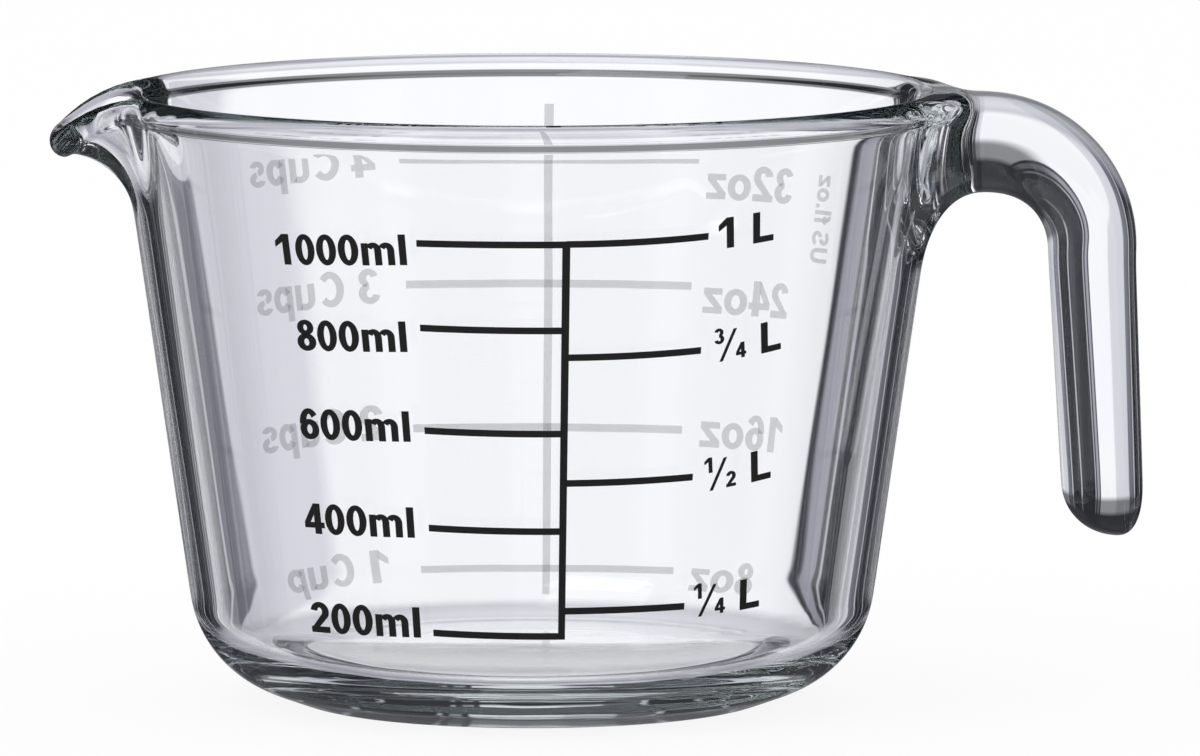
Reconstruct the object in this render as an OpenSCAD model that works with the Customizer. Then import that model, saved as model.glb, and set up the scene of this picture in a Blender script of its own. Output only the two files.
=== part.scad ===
// Pressed glass measuring jug: a tapered bowl with a rim bead and a drooping pouring lip, an open hook
// handle, and two printed enamel scales on the outside of the wall.
// The base stands on z = 0 with the bowl's axis on z. The handle points along +x, the lip along -x,
// the front scale faces -y and the rear scale faces +y.

/* [Bowl] */
// Outside diameter over the rim bead
rim_d = 149.5; // [130:0.5:170]
// Height from the table to the top of the rim
height = 110; // [100:1:125]
// Lean of the wall away from upright, in degrees
wall_taper = 8.2; // [6:0.1:10]
// Thickness of the wall, square to its face
wall_t = 4.5; // [3.5:0.1:6]
// How far the rim bead stands out from the wall
bead_out = 0.8; // [0.4:0.1:1.4]
// Length of wall over which the rim bead swells
bead_len = 2; // [1.5:0.5:6]

/* [Bottom] */
// Thickness of the floor
floor_t = 9; // [6:0.5:11]
// Diameter of the flat base
base_d = 82; // [72:1:88]
// Rise of the outside from the edge of the base to the rounded corner, in degrees
foot_slope = 20; // [14:1:26]
// Radius of the outside corner between the foot and the wall
corner_r = 21; // [16:0.5:25]
// Radius of the corner between the floor and the inside of the wall
inner_corner_r = 11; // [8:0.5:16]

/* [Pouring lip] */
// Half of the angle that the lip spans around the rim
lip_half_angle = 18; // [16:1:26]
// Half of the angle at the tip of the lip over which it is bent in full
lip_flat_angle = 6; // [2:1:9]
// Depth below the rim at which the wall starts to bend into the lip
lip_depth = 22; // [18:1:28]
// Extra lean of the wall at the tip of the lip, in degrees
lip_bend = 80; // [50:1:88]
// Extra length of the wall at the tip of the lip
lip_reach = 2; // [0:0.1:4]

/* [Handle] */
// Radius of the arch between the handle and the wall
arch_r = 11.8; // [9:0.2:14]
// Depth of the handle's crown below the top of the rim
crown_drop = 0.7; // [0.5:0.1:3]
// Thickness of the handle over the arch
crown_t = 17.8; // [14:0.2:20]
// Thickness of the arm beside the arch
arm_t = 15.6; // [12:0.2:18]
// Thickness of the arm just above its rounded end
end_t = 14.6; // [11:0.2:17]
// Length of the arm from the middle of the arch to its free end
arm_len = 50; // [36:1:58]
// Outward lean of the arm's inner face, in degrees
arm_lean = 3.4; // [0:0.1:6]
// Width of the handle over the arch, from front to back
arm_w = 26; // [20:0.5:32]
// Width of the arm just above its rounded end
end_w = 23; // [18:0.5:28]
// Length of the rounded free end
end_len = 9.5; // [7:0.5:12]
// Width of the flared root inside the wall
root_w = 60; // [50:1:68]

/* [Printed scales] */
// Thickness of the enamel
print_t = 0.15; // [0.1:0.01:0.3]
// Width of the lines of the front scale
front_line_w = 1; // [0.6:0.1:1.6]
// Width of the lines of the rear scale
rear_line_w = 1.4; // [0.8:0.1:2]

/* [Hidden] */
$fn = 120;
glass_color = [0.86, 0.91, 0.9, 0.5];
front_print_color = [0.05, 0.05, 0.06];
rear_print_color = [0.72, 0.73, 0.76];

// Steps along each curve
corner_steps = 12;
inner_corner_steps = 8;
bead_steps = 4;
rim_steps = 8;
lip_wall_steps = 12;
lip_turn_steps = 36;
section_steps = 28;
root_steps = 12;
bend_steps = 14;
arm_steps = 5;
end_steps = 9;

// Wall of the bowl
rim_r = (wall_t + bead_out) / 2;
rim_mid_r = rim_d / 2 - rim_r - bead_out / 2 * cos(wall_taper);
rim_mid_z = height - rim_r + bead_out / 2 * sin(wall_taper);
wall_foot_r = rim_mid_r + wall_t / 2 / cos(wall_taper) - rim_mid_z * tan(wall_taper);
wall_flat_t = wall_t / cos(wall_taper);

// Bottom corner of the outside, touching the foot's slope and the wall
base_r = base_d / 2;
corner_inset = wall_foot_r - corner_r / cos(wall_taper);
corner_mid_z = ((corner_inset - base_r) * tan(foot_slope) + corner_r / cos(foot_slope))
    / (1 - tan(wall_taper) * tan(foot_slope));
corner_mid_r = corner_inset + corner_mid_z * tan(wall_taper);
corner_turn = 90 - foot_slope;

// Upper wall, from the foot of the lip to the middle of the rim
lip_foot_z = height - lip_depth;
lip_foot_mid_z = lip_foot_z + wall_t / 2 * sin(wall_taper);
lip_len = (rim_mid_z - lip_foot_mid_z) / cos(wall_taper);
lip_foot_r = rim_mid_r - lip_len * sin(wall_taper);
bead_foot_share = 1 - bead_len / lip_len;

// Handle
arch_z = height - crown_drop - crown_t - arch_r;
arch_bite = wall_t / 4;
arch_x = wall_foot_r + arch_z * tan(wall_taper) + arch_r - arch_bite;
root_reach = arch_x - wall_foot_r - height * tan(wall_taper) + arch_bite;
root_sink = 2 * wall_t;
root_bow_r = arch_x - arch_r;
root_sink_steps = 3;
root_drop_share = 0.4;
section_power = 3.6;
end_power = 2.4;
end_middle_share = 0.68;
end_cap_share = 0.99;
straight_len = arm_len - end_len;

// Places of the printed lines: heights as shares of the jug's height, and angles from the front or the rear
ml_values = [1000, 800, 600, 400, 200];
ml_height_shares = [0.813, 0.676, 0.509, 0.35, 0.178];
litre_names = ["one", "three_quarter", "half", "quarter"];
litre_height_shares = [0.813, 0.635, 0.429, 0.218];
cup_values = [4, 3, 2, 1];
ounces_per_cup = 8;
cup_height_shares = [0.836, 0.62, 0.382, 0.147];
rear_spine_height_shares = [0.112, 0.914];
front_spine_angle = 5.1;
front_left_angle = -16.1;
front_right_angle = 25.8;
rear_spine_angle = 2.2;
rear_left_angle = -20;
rear_right_angle = 25;
front_angle = -90;
rear_angle = 90;

// Radius of the wall's outer face at a height, as if it ran straight down to the table
function wall_r(z) = wall_foot_r + z * tan(wall_taper);

// The bottom corner, from the edge of the base up the foot's slope and round to the straight wall
function corner_points() = concat(
    [[base_r, 0]],
    [
        for (i = [0 : corner_steps])
            let (turn = (corner_turn - wall_taper) * i / corner_steps - corner_turn)
                [corner_mid_r + corner_r * cos(turn), corner_mid_z + corner_r * sin(turn)]
    ]
);

// Radius of the outside at a height between the table and the rim
function outside_r(z) = lookup(z, concat(
    [for (point = corner_points()) [point[1], point[0]]],
    [[height, wall_r(height)]]
));

// Length of a chord over the length of its arc, for half of the arc's turn
function chord_share(half_turn) = half_turn == 0 ? 1 : sin(half_turn) / (half_turn * PI / 180);

// Point of the upper wall. along runs from 0 at the lip's foot to 1 at the rim, out is the distance from
// the middle of the glass towards the outside, and bend is the extra lean at the rim.
function upper_point(along, out, bend) =
    let (
        half = bend * along / 2,
        lean = wall_taper + 2 * half,
        run = (lip_len + lip_reach * bend / lip_bend) * along * chord_share(half)
    )
        [
            lip_foot_r + run * sin(wall_taper + half) + out * cos(lean),
            lip_foot_mid_z + run * cos(wall_taper + half) - out * sin(lean)
        ];

// Outer face of the rim bead, swelling from the wall up to the round of the rim
function bead_points(bend) = [
    for (i = [0 : bead_steps])
        let (share = i / bead_steps, swell_share = (1 - cos(180 * share)) / 2)
            upper_point(
                bead_foot_share + (1 - bead_foot_share) * share,
                wall_t / 2 + bead_out * swell_share,
                bend
            )
];

// The round of the rim, from its outer face over the top to its inner face
function rim_points(bend) =
    let (middle = upper_point(1, bead_out / 2, bend), lean = wall_taper + bend, top = 90 + wall_taper)
        [
            for (i = [1 : 2 * rim_steps])
                let (turn = i <= rim_steps ? top * i / rim_steps : top + (180 - top) * (i / rim_steps - 1))
                    middle + rim_r * [cos(turn - lean), sin(turn - lean)]
        ];

// Section of the upper wall as a closed loop, level at its foot
function upper_loop(bend) = concat(
    [for (i = [0 : lip_wall_steps - 1]) upper_point(bead_foot_share * i / lip_wall_steps, wall_t / 2, bend)],
    bead_points(bend),
    rim_points(bend),
    [for (i = [lip_wall_steps - 1 : -1 : 0]) upper_point(i / lip_wall_steps, -wall_t / 2, bend)],
    [[wall_r(lip_foot_z) - wall_flat_t, lip_foot_z]]
);

// Inside corner, from the wall down to the floor
function inner_corner_points() =
    let (
        middle_z = floor_t + inner_corner_r,
        middle_r = wall_r(middle_z) - wall_flat_t - inner_corner_r / cos(wall_taper)
    )
        [
            for (i = [0 : inner_corner_steps])
                let (turn = -wall_taper - (90 - wall_taper) * i / inner_corner_steps)
                    [middle_r + inner_corner_r * cos(turn), middle_z + inner_corner_r * sin(turn)]
        ];

// Outline of the bowl's outside, from the axis to the top of the rim
function outside_outline() = concat(
    [[0, 0]],
    corner_points(),
    bead_points(0),
    [for (i = [0 : rim_steps - 1]) rim_points(0)[i]]
);

// Solid between a row of closed loops of an even number of points, with ends made of strips across the loop
module loft(loops) {
    count = len(loops[0]);
    last = (len(loops) - 1) * count;
    points = [for (loop = loops) each loop];
    sides = [
        for (near = [0 : count : last - count], i = [0 : count - 1])
            let (next = (i + 1) % count, far = near + count)
                each [[near + i, far + i, far + next], [near + i, far + next, near + next]]
    ];
    ends = [
        for (i = [0 : count / 2 - 2])
            let (across = count - 1 - i)
                each [
                    [i, i + 1, across - 1],
                    [i, across - 1, across],
                    [last + i, last + across - 1, last + i + 1],
                    [last + i, last + across, last + across - 1]
                ]
    ];
    polyhedron(points = points, faces = concat(sides, ends), convexity = 6);
}

// Bowl with a plain rim all the way round
module plain_bowl() {
    rotate_extrude()
        polygon(concat(
            outside_outline(),
            [for (i = [rim_steps : 2 * rim_steps - 1]) rim_points(0)[i]],
            inner_corner_points(),
            [[0, floor_t]]
        ));
}

// Room for the pouring lip in the upper wall
module lip_gap() {
    rotate([0, 0, 180 - lip_half_angle])
        rotate_extrude(angle = 2 * lip_half_angle)
            translate([base_r, lip_foot_z])
                square([rim_d / 2, 2 * lip_depth]);
}

// Upper wall bent outwards and down into a lip: in full over its tip, easing back to the wall at both sides
module pouring_lip() {
    color(glass_color)
        loft([
            for (i = [0 : lip_turn_steps])
                let (
                    off = lip_half_angle * (2 * i / lip_turn_steps - 1),
                    share = max(0, abs(off) - lip_flat_angle) / (lip_half_angle - lip_flat_angle),
                    turn = 180 - off
                )
                    [
                        for (point = upper_loop(lip_bend * (1 + cos(180 * share)) / 2))
                            [point[0] * cos(turn), point[0] * sin(turn), point[1]]
                    ]
        ]);
}

// Glass bowl, open where the pouring lip continues its wall
module bowl() {
    color(glass_color)
        difference() {
            plain_bowl();
            lip_gap();
        }
}

// Root of the handle: share runs from 0 over the arch to 1 at the wall. A station of the handle is its inner
// point, its outer point, half of its width, and how far it is bowed round the bowl.
function root_station(share) =
    let (turn = 90 + 90 * share, flare = (root_w - arm_w) / 2)
        [
            [arch_x + arch_r * cos(turn), arch_z + arch_r * sin(turn)],
            [arch_x - root_reach * share, height - crown_drop * (1 - share * (1 - root_drop_share))],
            arm_w / 2 + flare * (1 - sqrt(1 - share * share)),
            share
        ];

// The root carried on into the bowl, where the wall's outside cuts it off
function sunk_station(share) =
    let (start = root_station(1), step = [-root_sink * share, 0])
        [start[0] + step, start[1] + step, start[2], 1];

// Bend of the handle: share runs from 0 over the arch to 1 beside it
function bend_station(share) =
    let (turn = 90 * (1 - share), outer_r = arch_r + crown_t + (arm_t - crown_t) * share * share)
        [
            [arch_x + arch_r * cos(turn), arch_z + arch_r * sin(turn)],
            [arch_x + outer_r * cos(turn), arch_z + outer_r * sin(turn)],
            arm_w / 2,
            0
        ];

// Straight arm: share runs from 0 beside the arch to 1 above the rounded end
function arm_station(share) =
    let (
        drop = straight_len * share,
        inner_x = arch_x + arch_r + drop * tan(arm_lean),
        thickness = arm_t + (end_t - arm_t) * share
    )
        [
            [inner_x, arch_z - drop],
            [inner_x + thickness, arch_z - drop],
            (arm_w + (end_w - arm_w) * share) / 2,
            0
        ];

// Rounded free end, with a longer round on the inner side
function end_station(share) =
    let (
        start = arm_station(1),
        middle_x = start[0][0] + end_t * end_middle_share,
        z = start[0][1] - end_len * share,
        inner_share = sqrt(1 - share * share),
        outer_share = pow(1 - pow(share, end_power), 1 / end_power)
    )
        [
            [middle_x + (start[0][0] - middle_x) * inner_share, z],
            [middle_x + (start[1][0] - middle_x) * outer_share, z],
            start[2] * outer_share,
            0
        ];

// All stations along the handle, from inside the bowl to the free end
function handle_stations() = concat(
    [for (i = [root_sink_steps : -1 : 1]) sunk_station(i / root_sink_steps)],
    [for (i = [root_steps : -1 : 1]) root_station(i / root_steps)],
    [for (i = [0 : bend_steps]) bend_station(i / bend_steps)],
    [for (i = [1 : arm_steps]) arm_station(i / arm_steps)],
    [for (i = [1 : end_steps]) end_station(end_cap_share * sin(90 * i / end_steps))]
);

// Coordinate of a rounded rectangle of half size 1
function rounded(value) = sign(value) * pow(abs(value), 2 / section_power);

// Section of the handle at a station, as a loop of points
function handle_loop(station) =
    let (middle = (station[0] + station[1]) / 2, half = (station[1] - station[0]) / 2)
        [
            for (i = [0 : section_steps - 1])
                let (
                    turn = 360 * i / section_steps,
                    point = middle + half * rounded(cos(turn)),
                    y = -station[2] * rounded(sin(turn)),
                    bow = root_bow_r - sqrt(root_bow_r * root_bow_r - y * y)
                )
                    [point[0] - station[3] * bow, y, point[1]]
        ];

// Open hook handle, cut to the outside of the bowl
module handle() {
    color(glass_color)
        difference() {
            loft([for (station = handle_stations()) handle_loop(station)]);
            rotate_extrude()
                polygon(concat(outside_outline(), [[0, height]]));
        }
}

// Skin of enamel on the wall between two heights and two angles
module print_band(z_low, z_high, angle_from, angle_to) {
    bends = [for (point = corner_points()) if (point[1] > z_low && point[1] < z_high) point[1]];
    heights = concat([z_low], bends, [z_high]);
    inside = [for (z = heights) [outside_r(z), z]];
    outside = [for (i = [len(heights) - 1 : -1 : 0]) inside[i] + [print_t, 0]];
    rotate([0, 0, angle_from])
        rotate_extrude(angle = angle_to - angle_from)
            polygon(concat(inside, outside));
}

// Half of the angle that a line of a given width takes up on the wall at a height
function half_line_angle(line_w, z) = line_w / 2 / outside_r(z) * 180 / PI;

// Upright line of a scale, at an angle about the bowl's axis
module spine(z_low, z_high, at, line_w) {
    half = half_line_angle(line_w, (z_low + z_high) / 2);
    print_band(z_low, z_high, at - half, at + half);
}

// Level line of a scale, from the edge of its spine to an angle on either side of it
module level_line(z, spine_at, end_at, line_w, spine_middle_z) {
    half = half_line_angle(line_w, spine_middle_z);
    edge = end_at > spine_at ? spine_at + half : spine_at - half;
    print_band(z - line_w / 2, z + line_w / 2, min(edge, end_at), max(edge, end_at));
}

front_low_z = height * ml_height_shares[len(ml_values) - 1] - front_line_w / 2;
front_high_z = height * ml_height_shares[0] + front_line_w / 2;
rear_low_z = height * rear_spine_height_shares[0];
rear_high_z = height * rear_spine_height_shares[1];

module front_spine() {
    color(front_print_color)
        spine(front_low_z, front_high_z, front_angle + front_spine_angle, front_line_w);
}

module front_line(height_share, end_at) {
    color(front_print_color)
        level_line(
            height * height_share,
            front_angle + front_spine_angle,
            front_angle + end_at,
            front_line_w,
            (front_low_z + front_high_z) / 2
        );
}

module rear_spine() {
    color(rear_print_color)
        spine(rear_low_z, rear_high_z, rear_angle - rear_spine_angle, rear_line_w);
}

module rear_line(height_share, end_at) {
    color(rear_print_color)
        level_line(
            height * height_share,
            rear_angle - rear_spine_angle,
            rear_angle - end_at,
            rear_line_w,
            (rear_low_z + rear_high_z) / 2
        );
}

bowl();
pouring_lip();
handle();
front_spine();
for (i = [0 : len(ml_values) - 1])
    front_line(ml_height_shares[i], front_left_angle);
for (i = [0 : len(litre_names) - 1])
    front_line(litre_height_shares[i], front_right_angle);
rear_spine();
for (i = [0 : len(cup_values) - 1])
    rear_line(cup_height_shares[i], rear_left_angle);
for (i = [0 : len(cup_values) - 1])
    rear_line(cup_height_shares[i], rear_right_angle);
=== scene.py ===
"""Looks of a pressed glass measuring jug: one clear glass body with a pouring lip and a hook handle, a black
scale fired on the front of its wall and a pale grey scale on the rear, on a plain white floor."""

import math

import bpy
import numpy as np
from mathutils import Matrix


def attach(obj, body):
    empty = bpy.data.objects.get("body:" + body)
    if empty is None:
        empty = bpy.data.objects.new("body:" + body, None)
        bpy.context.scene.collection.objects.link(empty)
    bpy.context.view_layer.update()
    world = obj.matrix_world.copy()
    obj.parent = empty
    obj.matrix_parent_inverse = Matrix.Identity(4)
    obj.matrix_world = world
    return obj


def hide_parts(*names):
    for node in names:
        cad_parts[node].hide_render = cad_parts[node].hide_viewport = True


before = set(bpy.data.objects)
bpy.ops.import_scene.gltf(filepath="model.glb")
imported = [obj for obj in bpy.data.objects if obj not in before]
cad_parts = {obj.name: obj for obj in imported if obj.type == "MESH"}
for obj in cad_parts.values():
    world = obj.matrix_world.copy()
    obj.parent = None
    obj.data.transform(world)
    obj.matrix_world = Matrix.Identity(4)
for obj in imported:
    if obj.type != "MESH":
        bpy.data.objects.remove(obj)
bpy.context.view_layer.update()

MM = 0.001

# Sizes of the glass in millimetres and radians
RIM_D = 149.5
HEIGHT = 110.0
WALL_TAPER = math.radians(8.2)
WALL_T = 4.5
BEAD_OUT = 0.8
BEAD_LEN = 2.0
FLOOR_T = 9.0
BASE_R = 41.0
FOOT_SLOPE = math.radians(20.0)
CORNER_R = 21.0
INNER_CORNER_R = 11.0
LIP_HALF_ANGLE = math.radians(18.0)
LIP_FLAT_ANGLE = math.radians(6.0)
LIP_DEPTH = 22.0
LIP_BEND = math.radians(80.0)
LIP_REACH = 2.0
ARCH_R = 11.8
CROWN_DROP = 0.7
CROWN_T = 17.8
ARM_T = 15.6
END_T = 14.6
ARM_LEN = 50.0
ARM_LEAN = math.radians(3.4)
ARM_W = 26.0
END_W = 23.0
END_LEN = 9.5

# How the handle's section, arch, free end and root are rounded
SECTION_POWER = 3.0
FINGER_TAPER = 0.33
FINGER_EDGE = 0.15
FINGER_POWER = 1.5
ARCH_POWER = 0.85
END_MIDDLE = 0.68
END_POWER = 2.4
END_SHARE = 0.999
ROOT_PULL = 1.6
ROOT_LEAST = 4.0
ROOT_EDGE_POWER = 4

# Sizes of the print in millimetres
PRINT_T = 0.15
PRINT_SUNK = 0.05
FRONT_LINE_W = 1.2
REAR_LINE_W = 1.4
FRONT_SIZE = 5.45
SMALL_SIZE = 2.75
REAR_SIZE = 6.3
UNIT_SIZE = 4.7

# Worked out from them, as the part does
COS = math.cos(WALL_TAPER)
SIN = math.sin(WALL_TAPER)
TAN = math.tan(WALL_TAPER)
RIM_R = (WALL_T + BEAD_OUT) / 2
RIM_MID_R = RIM_D / 2 - RIM_R - BEAD_OUT / 2 * COS
RIM_MID_Z = HEIGHT - RIM_R + BEAD_OUT / 2 * SIN
WALL_FOOT_R = RIM_MID_R + WALL_T / 2 / COS - RIM_MID_Z * TAN
WALL_FLAT_T = WALL_T / COS
CORNER_INSET = WALL_FOOT_R - CORNER_R / COS
CORNER_MID_Z = ((CORNER_INSET - BASE_R) * math.tan(FOOT_SLOPE) + CORNER_R / math.cos(FOOT_SLOPE)) / (
    1 - TAN * math.tan(FOOT_SLOPE)
)
CORNER_MID_R = CORNER_INSET + CORNER_MID_Z * TAN
LIP_FOOT_Z = HEIGHT - LIP_DEPTH
LIP_FOOT_MID_Z = LIP_FOOT_Z + WALL_T / 2 * SIN
LIP_LEN = (RIM_MID_Z - LIP_FOOT_MID_Z) / COS
LIP_FOOT_R = RIM_MID_R - LIP_LEN * SIN
BEAD_FOOT = 1 - BEAD_LEN / LIP_LEN
ARCH_Z = HEIGHT - CROWN_DROP - CROWN_T - ARCH_R
ARCH_X = WALL_FOOT_R + ARCH_Z * TAN + ARCH_R - WALL_T / 4

# Steps of the grids, and places of the rows on the base and on the floor
TURN_STEPS = 160
ROOT_COLUMNS = 9
ROOT_LOW_Z = 77.0
ROOT_RIM_ROWS = 6
ROOT_STEPS = 12
WALL_ROWS = 16
STROKE_STEPS = 25
BASE_ROWS = np.array([1.5, 8, 16, 24, 31, 36, 39, 40.4])
FOOT_ROWS = np.array([0.1, 0.45])
FLOOR_ROWS = np.array([0.95, 0.86, 0.74, 0.56, 0.38, 0.2, 0.03])


def wall_r(z):
    """Radius of the straight wall's outer face: it grows by the tangent of the taper for each step up."""
    return WALL_FOOT_R + z * TAN


def corner_point(turn):
    """Radius and height of the bottom corner: a circle that touches the foot's slope and the wall."""
    return CORNER_MID_R + CORNER_R * np.cos(turn), CORNER_MID_Z + CORNER_R * np.sin(turn)


def outside_r(z):
    """Radius of the outside at a height: the circle of the corner below its upper end, the straight wall above."""
    low = CORNER_MID_R + np.sqrt(np.clip(CORNER_R**2 - (z - CORNER_MID_Z) ** 2, 0, None))
    return np.where(z < CORNER_MID_Z - CORNER_R * SIN, low, wall_r(z))


def upper_wall(along, out, bend):
    """Radius and height of a point of the upper wall. The middle of the glass is a circular arc that starts at
    the wall's lean and leans over by bend at its far end; the point stands off it by out, square to it."""
    half = bend * along / 2
    lean = WALL_TAPER + 2 * half
    run = (LIP_LEN + LIP_REACH * bend / LIP_BEND) * along * np.sinc(half / math.pi)
    return (
        LIP_FOOT_R + run * np.sin(WALL_TAPER + half) + out * np.cos(lean),
        LIP_FOOT_MID_Z + run * np.cos(WALL_TAPER + half) - out * np.sin(lean),
    )


def rows_of(radius, height, columns):
    """Level rows that are the same all round, as arrays of rows by columns."""
    shape = (np.size(radius), columns)
    return (
        np.broadcast_to(np.reshape(radius, (-1, 1)), shape),
        np.broadcast_to(np.reshape(height, (-1, 1)), shape),
    )


def body_rows(turn):
    """Radius and height of the bowl's skin, rows by columns of turn about the axis. The rows run from the middle
    of the base out along it, up the foot's slope and round the corner, up the wall, over the rim (a circle on the
    end of the bent upper wall) and down the inside to the middle of the floor."""
    count = turn.size
    share = np.clip((np.abs(turn) - math.pi + LIP_HALF_ANGLE) / (LIP_HALF_ANGLE - LIP_FLAT_ANGLE), 0, 1)
    bend = (LIP_BEND * (1 - np.cos(math.pi * share)) / 2)[None, :]

    corner = corner_point(np.linspace(FOOT_SLOPE - math.pi / 2, -WALL_TAPER, 17))
    foot = (BASE_R + (corner[0][0] - BASE_R) * FOOT_ROWS, corner[1][0] * FOOT_ROWS)
    wall_z = np.concatenate([
        np.linspace(corner[1][-1], ROOT_LOW_Z, WALL_ROWS + 1)[1:],
        np.linspace(ROOT_LOW_Z, LIP_FOOT_Z, 4)[1:-1],
    ])

    outer = upper_wall(np.linspace(0, BEAD_FOOT, 9)[:, None], WALL_T / 2, bend)
    bead = np.linspace(0, 1, 5)[1:, None]
    bead_rows = upper_wall(
        BEAD_FOOT + (1 - BEAD_FOOT) * bead, WALL_T / 2 + BEAD_OUT * (1 - np.cos(math.pi * bead)) / 2, bend
    )
    middle = upper_wall(1.0, BEAD_OUT / 2, bend)
    crown = math.pi / 2 + WALL_TAPER
    rim = np.concatenate([np.linspace(0, crown, 8)[1:], np.linspace(crown, math.pi, 8)[1:]])[:, None]
    lean = WALL_TAPER + bend
    rim_rows = (middle[0] + RIM_R * np.cos(rim - lean), middle[1] + RIM_R * np.sin(rim - lean))
    inner = upper_wall(np.linspace(1, 0, 11)[1:, None], -WALL_T / 2, bend)

    round_z = FLOOR_T + INNER_CORNER_R
    round_r = wall_r(round_z) - WALL_FLAT_T - INNER_CORNER_R / COS
    down = np.linspace(-WALL_TAPER, -math.pi / 2, 15)
    round_rows = (round_r + INNER_CORNER_R * np.cos(down), round_z + INNER_CORNER_R * np.sin(down))
    inside_top = LIP_FOOT_MID_Z + WALL_T / 2 * SIN
    inside_z = np.linspace(inside_top, round_rows[1][0], 18)[1:-1]
    floor_r = round_r * FLOOR_ROWS

    parts = {
        "base": rows_of(BASE_ROWS, 0 * BASE_ROWS, count),
        "foot": rows_of(foot[0], foot[1], count),
        "corner": rows_of(corner[0], corner[1], count),
        "wall": rows_of(wall_r(wall_z), wall_z, count),
        "outer": outer,
        "bead": bead_rows,
        "rim": rim_rows,
        "inner": inner,
        "inside": rows_of(wall_r(inside_z) - WALL_FLAT_T, inside_z, count),
        "round": rows_of(round_rows[0], round_rows[1], count),
        "floor": rows_of(floor_r, 0 * floor_r + FLOOR_T, count),
    }
    first = dict(zip(parts, np.cumsum([0] + [part[0].shape[0] for part in parts.values()])))
    radius = np.concatenate([part[0] for part in parts.values()])
    height = np.concatenate([part[1] for part in parts.values()])
    return radius, height, first


def handle_section(a, b):
    """Carries the edge of a square onto the handle's section: each point slides along its ray to where the powers
    of its two coordinates add up to one, and the half next to the fingers gets narrower, ever more so inwards."""
    size = (np.abs(a) ** SECTION_POWER + np.abs(b) ** SECTION_POWER) ** (1 / SECTION_POWER)
    across, up = a / size, b / size
    return across * (1 - FINGER_TAPER * np.clip(FINGER_EDGE - up, 0, None) ** FINGER_POWER), up


def handle_stations():
    """Inner point, outer point and half width along the handle: a bend about the middle of the arch, a little
    squarer than a circle inside, whose depth eases from the crown to the arm, a straight arm that leans out and
    tapers, and a rounded free end."""
    share = np.linspace(0, 1, 17)
    turn = math.pi / 2 * (1 - share)
    depth = ARCH_R + CROWN_T + (ARM_T - CROWN_T) * share**2
    inner = np.stack([np.cos(turn), np.sin(turn)]).clip(0, 1) ** ARCH_POWER
    bend = np.stack([
        ARCH_X + ARCH_R * inner[0], ARCH_Z + ARCH_R * inner[1],
        ARCH_X + depth * np.cos(turn), ARCH_Z + depth * np.sin(turn),
        0 * turn + ARM_W / 2,
    ])
    share = np.linspace(0, 1, 11)[1:]
    drop = (ARM_LEN - END_LEN) * share
    inner_x = ARCH_X + ARCH_R + drop * math.tan(ARM_LEAN)
    arm = np.stack([
        inner_x, ARCH_Z - drop, inner_x + ARM_T + (END_T - ARM_T) * share, ARCH_Z - drop,
        (ARM_W + (END_W - ARM_W) * share) / 2,
    ])
    share = np.sin(np.radians(np.linspace(0, 90, 11)[1:])) * END_SHARE
    start = arm[:, -1]
    middle_x = start[0] + END_T * END_MIDDLE
    z = start[1] - END_LEN * share
    inner_share = np.sqrt(1 - share**2)
    outer_share = (1 - share**END_POWER) ** (1 / END_POWER)
    end = np.stack([
        middle_x + (start[0] - middle_x) * inner_share, z,
        middle_x + (start[2] - middle_x) * outer_share, z,
        start[4] * outer_share,
    ])
    return np.concatenate([bend, arm, end], axis=1)


def handle_rings(edge, a, b, outward):
    """Rings of points from the root's edge on the wall to the free end. The root is a row of cubic curves that
    leave the wall along its skin and arrive square to the first section; the rest are rounded rectangles."""
    across, up = handle_section(a, b)
    stations = handle_stations()
    middle = (stations[0:2] + stations[2:4]) / 2
    half = (stations[2:4] - stations[0:2]) / 2
    rings = np.stack([
        middle[0][:, None] + half[0][:, None] * up,
        stations[4][:, None] * across,
        middle[1][:, None] + half[1][:, None] * up,
    ], axis=-1)

    target = rings[0]
    step = target - edge
    leave = np.sum(step * outward, axis=1, keepdims=True)
    start = outward * np.clip(leave, ROOT_LEAST, None) * ROOT_PULL
    arrive = np.stack([np.clip(step[:, 0], ROOT_LEAST, None) * ROOT_PULL, 0 * a, 0 * a], axis=1)
    t = np.linspace(0, 1, ROOT_STEPS + 1)[1:-1, None, None]
    root = (
        (2 * t**3 - 3 * t**2 + 1) * edge
        + (t**3 - 2 * t**2 + t) * start
        + (3 * t**2 - 2 * t**3) * target
        + (t**3 - t**2) * arrive
    )
    tip = np.mean(rings[-1], axis=0)[None, :]
    return np.concatenate([root, rings]), tip


def grid_faces(rows, columns, wrap, base=0):
    """Quads between neighbouring points of a grid, as rows of four indices, closed round in columns if wrapped."""
    i, j = np.meshgrid(np.arange(rows - 1), np.arange(columns if wrap else columns - 1), indexing="ij")
    right = (j + 1) % columns
    return base + np.stack([
        i * columns + j, i * columns + right, (i + 1) * columns + right, (i + 1) * columns + j
    ], axis=-1)


def fan_faces(ring, tip):
    """Triangles between a ring of points and one tip."""
    return np.stack([ring, np.roll(ring, -1), np.full(ring.size, tip)], axis=-1)


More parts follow.
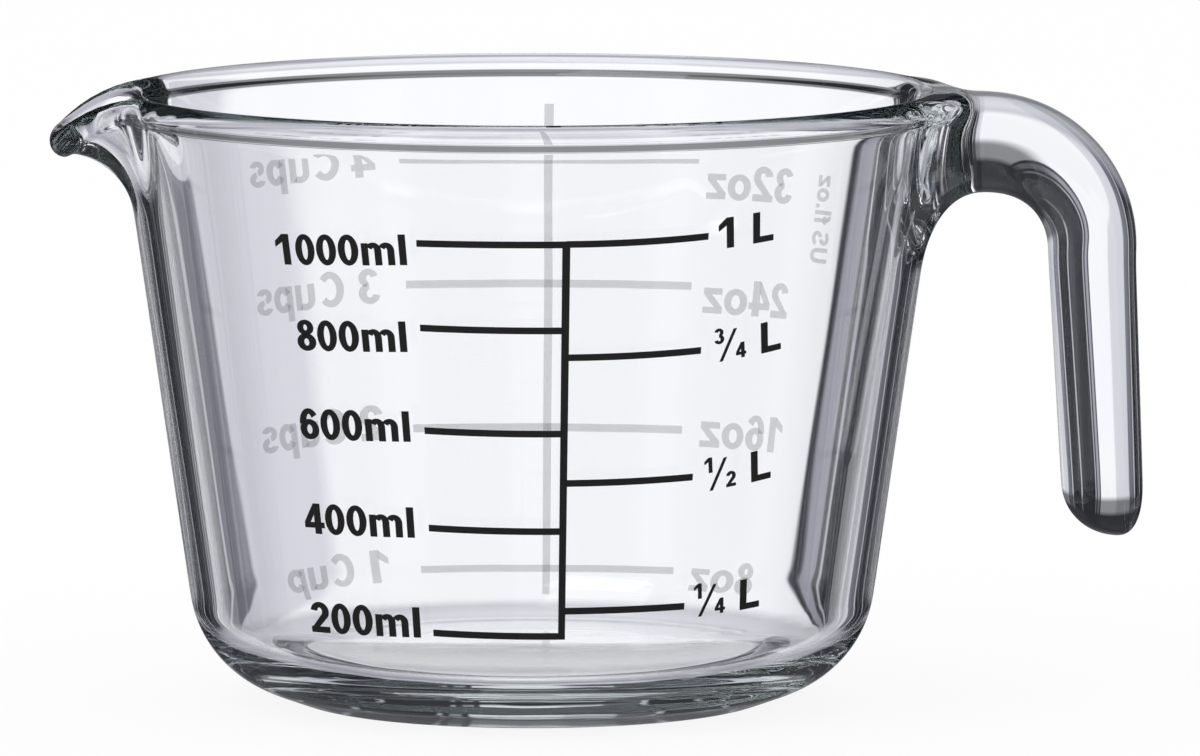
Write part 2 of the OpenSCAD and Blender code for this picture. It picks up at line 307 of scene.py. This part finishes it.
def mesh_object(name, points, quads, triangles=None, smooth=True):
    """Puts points in millimetres and faces into a mesh object at the origin."""
    parts = [part for part in (quads.reshape(-1, 4), triangles) if part is not None]
    loops = np.concatenate([part.ravel() for part in parts])
    used, loops = np.unique(loops, return_inverse=True)
    sizes = np.concatenate([np.full(len(part), part.shape[1]) for part in parts])
    mesh = bpy.data.meshes.new(name)
    mesh.vertices.add(used.size)
    mesh.vertices.foreach_set("co", (points[used] * MM).astype(np.float32).ravel())
    mesh.loops.add(loops.size)
    mesh.loops.foreach_set("vertex_index", loops.astype(np.int32).ravel())
    mesh.polygons.add(sizes.size)
    mesh.polygons.foreach_set("loop_start", np.concatenate([[0], np.cumsum(sizes)[:-1]]).astype(np.int32))
    mesh.polygons.foreach_set("use_smooth", np.full(sizes.size, smooth))
    mesh.update(calc_edges=True)
    mesh.validate()
    thing = bpy.data.objects.new(name, mesh)
    bpy.context.scene.collection.objects.link(thing)
    return thing


def glass_jug():
    """The whole glass as one closed skin: the bowl's grid, with a window left in it where the handle grows out."""
    turn = 2 * math.pi * (np.arange(TURN_STEPS) - TURN_STEPS / 2) / TURN_STEPS
    radius, height, first = body_rows(turn)
    skin = np.stack([radius * np.cos(turn), radius * np.sin(turn), height], axis=-1)
    rows = skin.shape[0]

    low = first["wall"] + WALL_ROWS - 1
    high = first["rim"] + ROOT_RIM_ROWS
    left = TURN_STEPS // 2 - ROOT_COLUMNS
    right = TURN_STEPS // 2 + ROOT_COLUMNS
    faces = grid_faces(rows, TURN_STEPS, True)
    keep = np.ones(faces.shape[:2], bool)
    keep[low:high, left:right] = False
    quads = faces[keep]

    columns = np.arange(left, right + 1)
    levels = np.arange(low, high + 1)
    edge_i = np.concatenate([
        np.full(columns.size - 1, low), levels[:-1], np.full(columns.size - 1, high), levels[:0:-1]
    ])
    edge_j = np.concatenate([
        columns[:-1], np.full(levels.size - 1, right), columns[:0:-1], np.full(levels.size - 1, left)
    ])
    edge = skin[edge_i, edge_j]
    a = (edge_j - TURN_STEPS / 2) / ROOT_COLUMNS
    by_height = (edge[:, 2] - skin[low, 0, 2]) / (skin[high, TURN_STEPS // 2, 2] - skin[low, 0, 2])
    by_row = (edge_i - low) / (high - low)
    b = by_height + by_row - 1
    b = np.where(edge_i == low, -1, np.where(edge_i == high, 1, b))

    around = np.stack([-np.sin(turn[edge_j]), np.cos(turn[edge_j]), 0 * a], axis=1)
    radial = np.stack([np.cos(turn[edge_j]), np.sin(turn[edge_j]), 0 * a], axis=1)
    upward = np.stack([SIN * radial[:, 0], SIN * radial[:, 1], 0 * a + COS], axis=1)
    side = np.abs(a)[:, None] ** ROOT_EDGE_POWER
    flat = np.abs(b)[:, None] ** ROOT_EDGE_POWER
    outward = -np.sign(a)[:, None] * side * around + flat * np.where(b[:, None] > 0, radial, upward)
    outward /= np.linalg.norm(outward, axis=1, keepdims=True)

    rings, tip = handle_rings(edge, a, b, outward)
    count = edge.shape[0]
    base = rows * TURN_STEPS
    points = np.concatenate([
        skin.reshape(-1, 3), rings.reshape(-1, 3), tip,
        [[0, 0, 0], [0, 0, FLOOR_T]],
    ])
    tube = grid_faces(rings.shape[0], count, True, base).reshape(-1, 4)
    edge_index = edge_i * TURN_STEPS + edge_j
    first_ring = base + np.arange(count)
    collar = np.stack([edge_index, np.roll(edge_index, -1), np.roll(first_ring, -1), first_ring], axis=-1)
    last_ring = base + (rings.shape[0] - 1) * count + np.arange(count)
    tip_index = base + rings.shape[0] * count
    triangles = np.concatenate([
        fan_faces(last_ring, tip_index),
        fan_faces(np.arange(TURN_STEPS)[::-1], tip_index + 1),
        fan_faces((rows - 1) * TURN_STEPS + np.arange(TURN_STEPS), tip_index + 2),
    ])
    jug = mesh_object("glass_jug", points, np.concatenate([quads, collar, tube]), triangles)
    smooth = jug.modifiers.new("smooth", "SUBSURF")
    smooth.levels = smooth.render_levels = 1
    return jug


def bar(*corners):
    """Ribbon of a straight stroke: two edges that run from corner to corner, the second given backwards."""
    ends = np.array(corners, float)
    t = np.linspace(0, 1, STROKE_STEPS)[:, None]
    return np.stack([ends[0] + (ends[1] - ends[0]) * t, ends[3] + (ends[2] - ends[3]) * t], axis=1)


def box(x0, y0, x1, y1):
    """Ribbon of an upright rectangle."""
    return bar((x0, y0), (x1, y0), (x1, y1), (x0, y1))


def arc(x, y, outer_x, outer_y, inner_x, inner_y, start=0.0, stop=360.0):
    """Ribbon between two ellipses about one middle, over a turn from start to stop in degrees."""
    turn = np.radians(np.linspace(start, stop, STROKE_STEPS))
    circle = np.stack([np.cos(turn), np.sin(turn)], axis=1)
    return np.stack([circle * [outer_x, outer_y], circle * [inner_x, inner_y]], axis=1) + [x, y]


# Bold signs with capitals one unit high: the step to the next sign, then the strokes
SIGNS = {
    "0": (0.78, [arc(0.39, 0.5, 0.35, 0.51, 0.115, 0.33)]),
    "1": (0.78, [box(0.335, 0, 0.585, 1), bar((0.335, 1), (0.05, 0.77), (0.05, 0.58), (0.335, 0.75))]),
    "2": (0.78, [
        arc(0.385, 0.695, 0.34, 0.315, 0.1, 0.13, 172, -38), box(0.02, 0, 0.72, 0.2),
        bar((0.464, 0.615), (0.09, 0.2), (0.34, 0.2), (0.653, 0.501)),
    ]),
    "3": (0.78, [
        arc(0.375, 0.735, 0.31, 0.275, 0.085, 0.1, 165, -70), arc(0.375, 0.295, 0.345, 0.305, 0.105, 0.12, 88, -168),
    ]),
    "4": (0.78, [
        box(0.405, 0, 0.64, 0.195), box(0.02, 0.195, 0.76, 0.38), box(0.405, 0.38, 0.64, 1),
        bar((0.405, 1), (0.02, 0.38), (0.235, 0.38), (0.405, 0.66)),
    ]),
    "6": (0.78, [
        arc(0.385, 0.325, 0.35, 0.335, 0.11, 0.155), arc(0.40, 0.5, 0.365, 0.51, 0.13, 0.33, 180, 38),
    ]),
    "8": (0.78, [arc(0.39, 0.755, 0.3, 0.255, 0.08, 0.1), arc(0.39, 0.28, 0.35, 0.29, 0.105, 0.12)]),
    "m": (1.24, [
        box(0.07, 0, 0.295, 0.725), box(0.51, 0, 0.735, 0.47), box(0.94, 0, 1.165, 0.47),
        arc(0.465, 0.47, 0.27, 0.275, 0.045, 0.1, 150, 0), arc(0.895, 0.47, 0.27, 0.275, 0.045, 0.1, 150, 0),
    ]),
    "l": (0.38, [box(0.08, 0, 0.31, 1)]),
    "L": (0.85, [box(0.0, 0, 0.25, 1), box(0.25, 0, 0.775, 0.2)]),
    "C": (1.0, [arc(0.5, 0.5, 0.465, 0.515, 0.225, 0.315, 42, 318)]),
    "u": (0.85, [
        box(0.07, 0.27, 0.295, 0.725), box(0.555, 0, 0.78, 0.725),
        arc(0.425, 0.27, 0.355, 0.285, 0.13, 0.105, 180, 310),
    ]),
    "p": (0.85, [box(0.07, -0.28, 0.295, 0.725), arc(0.455, 0.36, 0.35, 0.38, 0.115, 0.19, -150, 150)]),
    "s": (0.75, [
        arc(0.37, 0.525, 0.315, 0.215, 0.095, 0.06, 15, 260), arc(0.385, 0.205, 0.34, 0.22, 0.11, 0.065, 82, -165),
    ]),
    "o": (0.86, [arc(0.43, 0.363, 0.39, 0.38, 0.155, 0.2)]),
    "z": (0.7, [
        box(0.05, 0.545, 0.665, 0.725), box(0.03, 0, 0.68, 0.18),
        bar((0.4, 0.545), (0.03, 0.18), (0.3, 0.18), (0.665, 0.545)),
    ]),
    "U": (1.0, [
        box(0.08, 0.4, 0.315, 1), box(0.685, 0.4, 0.92, 1), arc(0.5, 0.4, 0.42, 0.415, 0.185, 0.22, 180, 360),
    ]),
    "S": (0.93, [
        arc(0.455, 0.73, 0.38, 0.285, 0.15, 0.11, 20, 262), arc(0.47, 0.285, 0.41, 0.3, 0.18, 0.12, 80, -165),
    ]),
    "f": (0.46, [
        box(0.11, 0, 0.335, 0.555), box(0.0, 0.555, 0.45, 0.725), arc(0.42, 0.725, 0.31, 0.28, 0.085, 0.1, 180, 75),
    ]),
    ".": (0.38, [box(0.08, 0, 0.295, 0.2)]),
    "/": (0.9, [bar((0.0, 0), (0.62, 1), (0.72, 1), (0.1, 0))]),
    " ": (0.33, []),
}


def words(text, size):
    """Ribbons of a line of signs set one after the other, as an array of strokes by steps by edges."""
    strokes, x = [], 0.0
    for sign in text:
        step, parts = SIGNS[sign]
        strokes += [part + [x, 0] for part in parts]
        x += step
    return np.array(strokes) * size


def turned(strokes, slope):
    """Tilts flat strokes: each point is raised by the slope times its way along, and set back as much."""
    x, y = strokes[..., 0], strokes[..., 1]
    return np.stack([x - slope * y, y + slope * x], axis=-1)


def enamel_skin(name, strokes, turn, z):
    """Closed thin ribbons of enamel wrapped on the wall. A flat point lies at its height above z, and at an angle
    from turn equal to its way along over the wall's radius at z; it is pushed out to the wall's skin there.
    Ribbons that run the other way round have their edges swapped, so that all of them face outwards."""
    along = np.diff(strokes[:, :, 0], axis=1)
    over = (strokes[:, :, 1] - strokes[:, :, 0])[:, :-1]
    facing = np.sum(along[..., 0] * over[..., 1] - along[..., 1] * over[..., 0], axis=1)
    strokes = np.where(facing[:, None, None, None] < 0, strokes[:, :, ::-1], strokes)
    height = z + strokes[..., 1]
    angle = turn + strokes[..., 0] / outside_r(np.array(z))
    skin = outside_r(height)
    layers = np.stack([
        np.stack([radius * np.cos(angle), radius * np.sin(angle), height], axis=-1)
        for radius in (skin - PRINT_SUNK, skin + PRINT_T)
    ], axis=-2)
    loop = np.stack([
        layers[..., 0, 1, :], layers[..., 0, 0, :], layers[..., 1, 0, :], layers[..., 1, 1, :]
    ], axis=-2)
    count, steps = loop.shape[:2]
    start = (np.arange(count) * steps * 4)[:, None, None, None]
    sides = start + grid_faces(steps, 4, True)[None]
    first = start[:, 0, 0] + np.arange(4)[None, ::-1]
    last = start[:, 0, 0] + (steps - 1) * 4 + np.arange(4)[None]
    return mesh_object(name, loop.reshape(-1, 3), np.concatenate([sides.reshape(-1, 4), first, last]), smooth=False)


def front(angle):
    """Turn about the axis of an angle in degrees from the front, growing towards the handle."""
    return math.radians(angle - 90)


def rear(angle):
    """Turn about the axis of an angle in degrees from the rear, growing towards the handle."""
    return math.radians(90 - angle)


def level_line(reach, rise, width):
    """Stroke of a scale line that starts at its spine: it rises with the square of its way along."""
    t = np.linspace(0, 1, STROKE_STEPS)
    return np.stack([
        np.stack([reach * t, rise * t**2 + side * width / 2], axis=1) for side in (-1, 1)
    ], axis=1)[None]


def upright_line(length, width):
    """Stroke of a spine, from its low end up."""
    y = np.linspace(0, length, STROKE_STEPS)
    return np.stack([np.stack([0 * y + side * width / 2, y], axis=1) for side in (1, -1)], axis=1)[None]


def arc_length(z, angle):
    """Way along the wall at a height for an angle in degrees."""
    return math.radians(angle) * float(outside_r(np.array(z)))


def plain_print(name, slot, paint, strokes, turn, z, *nodes):
    """One piece of enamel, such as a spine or a loose label, in place of the part's nodes that it names."""
    piece = enamel_skin(name, strokes, turn, z)
    piece.data.materials.append(paint)
    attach(piece, "root")
    if nodes:
        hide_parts(*nodes)


def mark(node, slot, paint, line, label, turn, z):
    """One mark of a scale: its line and its label as one piece that stands for the part's line."""
    plain_print("mark_" + node, slot, paint, np.concatenate([line, label]), turn, z, "line_" + node)


# Marks of the front scale on the left: name, height of the line at the spine, its rise at the end, angle of the
# label's right end, height of its foot there, and the label's slope
MILLILITRES = (
    ("1000", 89.07, 0.0, -17.6, 85.15, 0.043),
    ("800", 73.78, 0.25, -18.2, 69.65, 0.035),
    ("600", 55.36, 0.35, -18.4, 53.6, 0.027),
    ("400", 37.89, 0.37, -18.5, 36.4, 0.019),
    ("200", 19.06, 0.35, -18.3, 18.45, 0.013),
)
# On the right: name, the two numbers of its fraction, height of the line at the spine, its rise at the end, angle
# and height of the foot of the capital, and the label's slope
LITRES = (
    ("one", "1", "", 89.14, 0.75, 33.21, 88.11, 0.095),
    ("three_quarter", "3", "4", 68.97, 0.6, 36.34, 68.28, 0.13),
    ("half", "1", "2", 46.51, 0.42, 36.63, 45.21, 0.13),
    ("quarter", "1", "4", 23.58, 0.15, 36.59, 22.25, 0.085),
)
# Marks of the rear scale: height of the line, name and label on the reader's right with the angle of its left end
# and the height of its foot, and the same on the reader's left
CUPS = (
    (91.1, "4", "4 Cups", -25.0, 88.2, "32", 44.8, 84.3),
    (68.15, "3", "3 Cups", -25.4, 65.2, "24", 46.45, 63.6),
    (42.05, "2", "2 Cups", -26.4, 40.5, "16", 48.7, 39.4),
    (16.3, "1", "1 Cup", -27.0, 14.3, "8", 45.2, 12.7),
)
# Angles in degrees of the spines and of the lines' far ends
FRONT_SPINE = 5.1
FRONT_LEFT = -16.1
FRONT_RIGHT = 25.8
REAR_SPINE = 2.3
REAR_LEFT = -20.9
REAR_RIGHT = 26.3
# The rear spine's low end and length, the rise of the rear lines, and the slope of the cups' labels
REAR_SPINE_LOW = 11.0
REAR_SPINE_LEN = 89.45
REAR_RISE = 0.2
CUP_SLOPE = -0.022
# How much wider or narrower the signs are set, and the place of the upright unit
FRONT_STRETCH = [1.045, 1]
CUP_STRETCH = [1.1, 1]
OUNCE_STRETCH = [1.08, 1]
UNIT_STRETCH = [0.68, 1]
UNIT_ANGLE = 51.2
UNIT_LOW = 74.0
# Places beside the litre's capital: a fraction's two numbers, its slash, and a whole number
OVER_PLACE = [-9.6, 3.35]
UNDER_PLACE = [-5.35, 0.15]
SLASH = ((-8.7, 0.15), (-8.1, 0.15), (-5.0, 5.6), (-5.6, 5.6))
WHOLE_PLACE = [-7.18, 0]


def front_scale(paint):
    """Black scale of millilitres and litres."""
    low, high = MILLILITRES[-1][1], MILLILITRES[0][1]
    turn = front(FRONT_SPINE)
    spine = upright_line(high - low + FRONT_LINE_W, FRONT_LINE_W)
    plain_print("front_spine_line", "front_print", paint, spine, turn, low - FRONT_LINE_W / 2, "front_spine")
    for name, z, rise, right_angle, foot, slope in MILLILITRES:
        line = level_line(arc_length(z, FRONT_LEFT - FRONT_SPINE), rise, FRONT_LINE_W)
        strokes = words(name + "ml", FRONT_SIZE) * FRONT_STRETCH
        strokes = turned(strokes - [np.max(strokes[..., 0]), 0], slope)
        place = [arc_length(z, right_angle - FRONT_SPINE), foot - z]
        mark(name + "_ml", "front_print", paint, line, strokes + place, turn, z)
    for name, over, under, z, rise, angle, foot, slope in LITRES:
        line = level_line(arc_length(z, FRONT_RIGHT - FRONT_SPINE), rise, FRONT_LINE_W)
        label = [words("L", FRONT_SIZE)]
        if under:
            label += [words(over, SMALL_SIZE) + OVER_PLACE, words(under, SMALL_SIZE) + UNDER_PLACE]
            label += [bar(*SLASH)[None]]
        else:
            label += [words(over, FRONT_SIZE) + WHOLE_PLACE]
        place = [arc_length(z, angle - FRONT_SPINE), foot - z]
        strokes = turned(np.concatenate(label), slope) + place
        mark(name + "_litre", "front_print", paint, line, strokes, turn, z)


def rear_scale(paint):
    """Pale grey scale of cups and fluid ounces, to be read from the rear."""
    turn = rear(REAR_SPINE)
    spine = upright_line(REAR_SPINE_LEN, REAR_LINE_W)
    plain_print("rear_spine_line", "rear_print", paint, spine, turn, REAR_SPINE_LOW, "rear_spine")
    for z, cup, cups, cup_angle, cup_foot, ounce, ounce_angle, ounce_foot in CUPS:
        line = level_line(arc_length(z, REAR_SPINE - REAR_LEFT), REAR_RISE, REAR_LINE_W)
        place = [arc_length(z, REAR_SPINE - cup_angle), cup_foot - z]
        label = turned(words(cups, REAR_SIZE) * CUP_STRETCH, CUP_SLOPE) + place
        mark(cup + "_cup", "rear_print", paint, line, label, turn, z)
        line = level_line(arc_length(z, REAR_SPINE - REAR_RIGHT), REAR_RISE, REAR_LINE_W)
        place = [arc_length(z, REAR_SPINE - ounce_angle), ounce_foot - z]
        label = words(ounce + "oz", REAR_SIZE) * OUNCE_STRETCH + place
        mark(ounce + "_ounce", "rear_print", paint, line, label, turn, z)
    unit = words("US fl.oz", UNIT_SIZE) * UNIT_STRETCH
    unit = np.stack([-unit[..., 1], unit[..., 0]], axis=-1)
    plain_print("unit_label", "rear_print", paint, unit, rear(UNIT_ANGLE), UNIT_LOW)


class Wire:
    """A socket of a node tree that can be used in sums: each operator adds a Math node."""

    def __init__(self, tree, socket=None):
        self.tree = tree
        self.socket = socket

    def make(self, kind, settings=None, inputs=None, out=0):
        """Adds a node of a type: its settings are set first, then its sockets get values or links."""
        node = self.tree.nodes.new(kind)
        for name, value in (settings or {}).items():
            if name == "stops":
                while len(node.color_ramp.elements) < len(value):
                    node.color_ramp.elements.new(1.0)
                for element, (place, colour) in zip(node.color_ramp.elements, value):
                    element.position = place
                    element.color = colour
            else:
                setattr(node, name, value)
        for name, value in (inputs or {}).items():
            if isinstance(value, Wire):
                self.tree.links.new(value.socket, node.inputs[name])
            else:
                node.inputs[name].default_value = value
        return Wire(self.tree, node.outputs[out] if node.outputs else None)

    def math(self, operation, *values):
        """Adds a Math node of an operation on its values."""
        return self.make("ShaderNodeMath", {"operation": operation}, dict(enumerate(values)))

    def __add__(self, other):
        return self.math("ADD", self, other)

    __radd__ = __add__

    def __mul__(self, other):
        return self.math("MULTIPLY", self, other)

    __rmul__ = __mul__

    def __sub__(self, other):
        return self.math("SUBTRACT", self, other)

    def __rsub__(self, other):
        return self.math("SUBTRACT", other, self)

    def __truediv__(self, other):
        return self.math("DIVIDE", self, other)

    def __rtruediv__(self, other):
        return self.math("DIVIDE", other, self)


# Share by which the enamel's grain changes its tone, and what it adds to its roughness
GRAIN_TONE = 0.15
GRAIN_ROUGH = 0.1
# Share of plain white in the floor as the camera sees it; the rest is lit paper, which keeps the shadow
FLOOR_WHITE = 0.9


def material(name):
    """An empty node material, with a wire to start from."""
    made = bpy.data.materials.new(name)
    made.use_nodes = True
    made.node_tree.nodes.clear()
    return made, Wire(made.node_tree)


def clear_glass():
    """Clear glass with a faint green-grey body tint and slight upright waves in its pressed skin."""
    made, wire = material("clear_pressed_glass")
    place = wire.make("ShaderNodeTexCoord", out="Object")
    upright = wire.make("ShaderNodeMapping", inputs={"Vector": place, "Scale": (1.0, 1.0, 0.12)})
    waves = wire.make("ShaderNodeTexNoise", inputs={"Vector": upright, "Scale": 70.0, "Detail": 1.0})
    bump = wire.make("ShaderNodeBump", inputs={"Strength": 0.05, "Distance": 0.001, "Height": waves})
    glass = wire.make("ShaderNodeBsdfPrincipled", inputs={
        "Base Color": (1.0, 1.0, 1.0, 1), "Roughness": 0.0, "IOR": 1.5, "Transmission Weight": 1.0, "Normal": bump,
    })
    tint = wire.make("ShaderNodeVolumeAbsorption", inputs={"Color": (0.56, 0.63, 0.61, 1), "Density": 8.0})
    wire.make("ShaderNodeOutputMaterial", inputs={"Surface": glass, "Volume": tint})
    return made


def enamel(name, colour, rough, cover=1.0):
    """Fired enamel with a fine grain; cover is the share of it that hides what is behind each of its two faces."""
    dark, pale = (tuple(share * c for c in colour) + (1,) for share in (1 - GRAIN_TONE, 1 + GRAIN_TONE))
    made, wire = material(name)
    place = wire.make("ShaderNodeTexCoord", out="Object")
    grain = wire.make("ShaderNodeTexNoise", inputs={"Vector": place, "Scale": 900.0, "Detail": 2.0})
    tone = wire.make("ShaderNodeMix", {"data_type": "RGBA"}, {0: grain, 6: dark, 7: pale}, out=2)
    fired = wire.make("ShaderNodeBsdfPrincipled", inputs={
        "Base Color": tone, "Roughness": rough + GRAIN_ROUGH * grain, "Specular IOR Level": 0.2, "Alpha": cover,
    })
    wire.make("ShaderNodeOutputMaterial", inputs={"Surface": fired})
    return made


def floor_material():
    """White paper that the camera sees nearly as plain white, and that rays which met the glass pass through."""
    made, wire = material("white_floor")
    paths = "ShaderNodeLightPath"
    seen = wire.make(paths, out="Is Camera Ray")
    glossy = wire.make(paths, out="Is Glossy Ray")
    through = wire.make(paths, out="Is Transmission Ray")
    paper = wire.make("ShaderNodeBsdfDiffuse", inputs={"Color": (0.9, 0.9, 0.9, 1)})
    white = wire.make("ShaderNodeEmission", inputs={"Color": (1, 1, 1, 1), "Strength": 1.0})
    clear = wire.make("ShaderNodeBsdfTransparent")
    shown = wire.make("ShaderNodeMixShader", inputs={0: seen * FLOOR_WHITE, 1: paper, 2: white})
    past = wire.math("MINIMUM", glossy + through, 1.0)
    both = wire.make("ShaderNodeMixShader", inputs={0: past, 1: shown, 2: clear})
    wire.make("ShaderNodeOutputMaterial", inputs={"Surface": both})
    return made


# The studio repeats itself for eight main views all round, so that the glass looks alike from each of them
MAIN_VIEWS = 8
# Its brightness near the horizon by the angle in degrees from a main view, growing to the left of it
STRIPS = (
    (-22.5, 0.02), (-21.7, 0.02), (-21.3, 0.5), (-20.7, 0.5), (-20.3, 0.02), (-10.4, 0.02), (-10.1, 0.5), (-9.8, 0.5),
    (-9.5, 0.04), (-8.9, 0.04), (-8.6, 0.35), (-7.4, 0.35), (-7.1, 0.04), (-6.6, 0.04), (-6.3, 1.0), (3.4, 1.0),
    (4.1, 0.74), (9.0, 0.68), (9.5, 0.18), (13.9, 0.12), (14.3, 0.6), (14.9, 0.6), (15.4, 0.02), (22.5, 0.02),
)
# Brightness above and below that by the angle from the horizon
LEVELS = (
    (-90.0, 1.0), (-64.0, 1.0), (-55.0, 0.55), (-44.0, 0.35), (-38.0, 0.75), (-26.0, 0.7), (-20.0, 0.5), (-17.0, 0.4),
    (2.0, 0.02), (58.0, 0.02), (66.0, 0.15), (90.0, 0.15),
)
# Share of the strips by the angle from the horizon
NEAR = (
    (-90.0, 0.0), (-45.0, 0.0), (-38.0, 0.35), (-19.0, 0.35), (-15.0, 1.0), (1.0, 1.0), (4.5, 0.25), (12.0, 0.25),
    (16.0, 0.0), (90.0, 0.0),
)
# The studio's cool grey: shares of red and green, and how much more blue the middle tones have
COOL_RED = 0.96
COOL_GREEN = 0.965
COOL_BLUE = 0.2
# What is added to its strength for refracted rays, and taken from it for reflected ones
THROUGH_GAIN = 0.13
REFLECTED_LOSS = 0.75
# Half side of the floor in metres, and how far it lies under the jug in millimetres
FLOOR_HALF = 12.0
FLOOR_DROP = 0.05
# The camera looks level along y and then down by its pitch
CAMERA_LENS = 446.5
CAMERA_PLACE = (0.0122, -2.650, 0.350)
CAMERA_PITCH = math.radians(6.29)
LAMP_PLACE = (-0.8, -1.2, 1.8)
LAMP_TURN = (math.radians(40), 0, math.radians(-33))
GLASS_BOUNCES = 192


def cool_grey(level):
    """Colour of a level of brightness: a little blue at white, and more so in the middle tones."""
    return COOL_RED * level, COOL_GREEN * level, level + COOL_BLUE * level * (1 - level), 1


def ramp(wire, value, table):
    """Cool grey looked up in a table of angles in degrees and levels, for an angle in radians."""
    low, high = table[0][0], table[-1][0]
    stops = [((angle - low) / (high - low), cool_grey(level)) for angle, level in table]
    share = (value * (180 / math.pi) - low) / (high - low)
    return wire.make("ShaderNodeValToRGB", {"stops": stops}, {0: share})


def white_world():
    """White to the camera and as light on the print and the floor; strips and levels to rays that met the glass."""
    world = bpy.data.worlds.new("studio")
    bpy.context.scene.world = world
    world.use_nodes = True
    world.node_tree.nodes.clear()
    wire = Wire(world.node_tree)
    glossy = wire.make("ShaderNodeLightPath", out="Is Glossy Ray")
    through = wire.make("ShaderNodeLightPath", out="Is Transmission Ray")
    place = wire.make("ShaderNodeTexCoord", out="Generated")
    x, y, z = (wire.make("ShaderNodeSeparateXYZ", inputs={0: place}, out=axis) for axis in range(3))
    turn = wire.math("ARCTAN2", y, x)
    rise = wire.math("ARCSINE", z)
    step = math.pi / MAIN_VIEWS
    strips = ramp(wire, wire.math("WRAP", turn, step, -step), STRIPS)
    levels = ramp(wire, rise, LEVELS)
    near = ramp(wire, rise, NEAR)
    around = wire.make("ShaderNodeMix", {"data_type": "RGBA"}, {0: near, 6: levels, 7: strips}, out=2)
    past = wire.math("MINIMUM", glossy + through, 1.0)
    shown = wire.make("ShaderNodeMix", {"data_type": "RGBA"}, {0: past, 6: (1, 1, 1, 1), 7: around}, out=2)
    strength = 1 + THROUGH_GAIN * through - REFLECTED_LOSS * glossy * (1 - through)
    sky = wire.make("ShaderNodeBackground", inputs={"Color": shown, "Strength": strength})
    wire.make("ShaderNodeOutputWorld", inputs={"Surface": sky})


def studio():
    """Floor, world, camera and one soft lamp above on the left."""
    corners = FLOOR_HALF / MM * np.array([[-1, -1, 0], [1, -1, 0], [1, 1, 0], [-1, 1, 0]])
    floor = mesh_object("floor", corners - [0, 0, FLOOR_DROP], np.array([[0, 1, 2, 3]]))
    floor.data.materials.append(floor_material())
    white_world()

    camera = bpy.data.cameras.new("camera")
    camera.lens = CAMERA_LENS
    camera.sensor_width = 36.0
    camera.clip_end = 100.0
    eye = bpy.data.objects.new("camera", camera)
    eye.location = CAMERA_PLACE
    eye.rotation_euler = (math.pi / 2 - CAMERA_PITCH, 0, 0)
    bpy.context.scene.collection.objects.link(eye)
    bpy.context.scene.camera = eye

    lamp = bpy.data.lights.new("soft_light", "AREA")
    lamp.energy = 8.0
    lamp.size = 1.2
    above = bpy.data.objects.new("soft_light", lamp)
    above.location = LAMP_PLACE
    above.rotation_euler = LAMP_TURN
    bpy.context.scene.collection.objects.link(above)


jug = glass_jug()
jug.data.materials.append(clear_glass())
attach(jug, "root")
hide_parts("bowl", "pouring_lip", "handle")
front_scale(enamel("black_enamel", (0.016, 0.015, 0.016), 0.4))
rear_scale(enamel("grey_enamel", (0.62, 0.63, 0.66), 0.4, 0.21))

studio()
bpy.context.scene.view_settings.view_transform = "Standard"
bpy.context.scene.cycles.max_bounces = GLASS_BOUNCES
bpy.context.scene.cycles.transmission_bounces = GLASS_BOUNCES
bpy.context.scene.cycles.glossy_bounces = GLASS_BOUNCES
bpy.context.scene.cycles.transparent_max_bounces = 16
